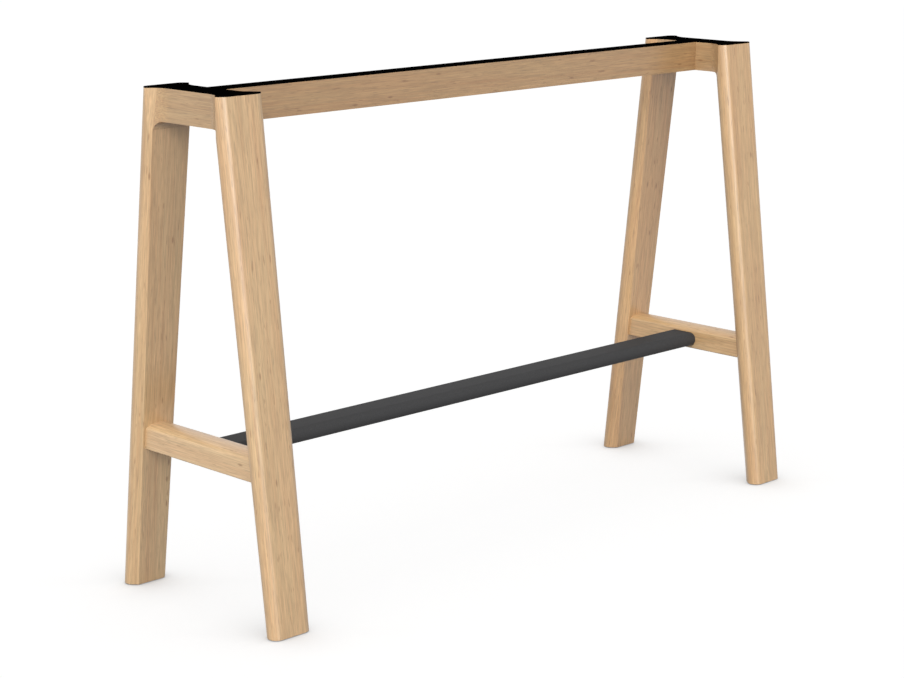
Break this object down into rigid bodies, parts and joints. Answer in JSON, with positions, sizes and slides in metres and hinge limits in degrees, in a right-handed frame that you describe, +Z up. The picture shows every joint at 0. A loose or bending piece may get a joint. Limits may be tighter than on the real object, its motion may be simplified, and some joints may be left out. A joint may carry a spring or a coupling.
{
  "type": "table frame",
  "caption": "Bar-height table frame: raked oak trestles with coved cross rails, joined by a top beam and a flat-oval steel foot bar, with a thin black rubber layer under the tabletop.",
  "frame": {"origin": "on the floor at the centre of the frame", "axes": "+X along the top beam and foot bar, +Y from the front legs to the rear legs, +Z up"},
  "size_m": [1.6208, 0.5076, 1.06],
  "materials": {
    "oak": "matt oiled, fine straight grain",
    "top_rubber": "matt black",
    "bar_paint": "anthracite powder coat, satin",
    "nylon": "matt black",
    "beech": "plain",
    "plug_steel": "satin",
    "fixing_steel": "zinc plated",
    "insert_brass": "plain"
  },
  "bodies": {
    "root": {"bar_plug_left": "plug_steel", "bar_plug_right": "plug_steel", "beam_dowels_left": "beech", "beam_dowels_right": "beech", "beam_insert_left": "insert_brass", "beam_insert_right": "insert_brass", "beam_nut_left": "fixing_steel", "beam_nut_right": "fixing_steel", "beam_stud_left": "fixing_steel", "beam_stud_right": "fixing_steel", "beam_washer_left": "fixing_steel", "beam_washer_right": "fixing_steel", "cross_rail_left": "oak", "cross_rail_right": "oak", "floor_glide_front_left": "nylon", "floor_glide_front_right": "nylon", "floor_glide_rear_left": "nylon", "floor_glide_rear_right": "nylon", "foot_bar": "bar_paint", "head_tenon_front_left": "beech", "head_tenon_front_right": "beech", "head_tenon_rear_left": "beech", "head_tenon_rear_right": "beech", "leg_front_left": "oak", "leg_front_right": "oak", "leg_rear_left": "oak", "leg_rear_right": "oak", "plug_screws_left": "fixing_steel", "plug_screws_right": "fixing_steel", "stretcher_left": "oak", "stretcher_right": "oak", "stretcher_tenon_front_left": "beech", "stretcher_tenon_front_right": "beech", "stretcher_tenon_rear_left": "beech", "stretcher_tenon_rear_right": "beech", "top_beam": "oak", "top_pad_beam": "top_rubber", "top_pad_left": "top_rubber", "top_pad_right": "top_rubber"}
  },
  "joints": []
}
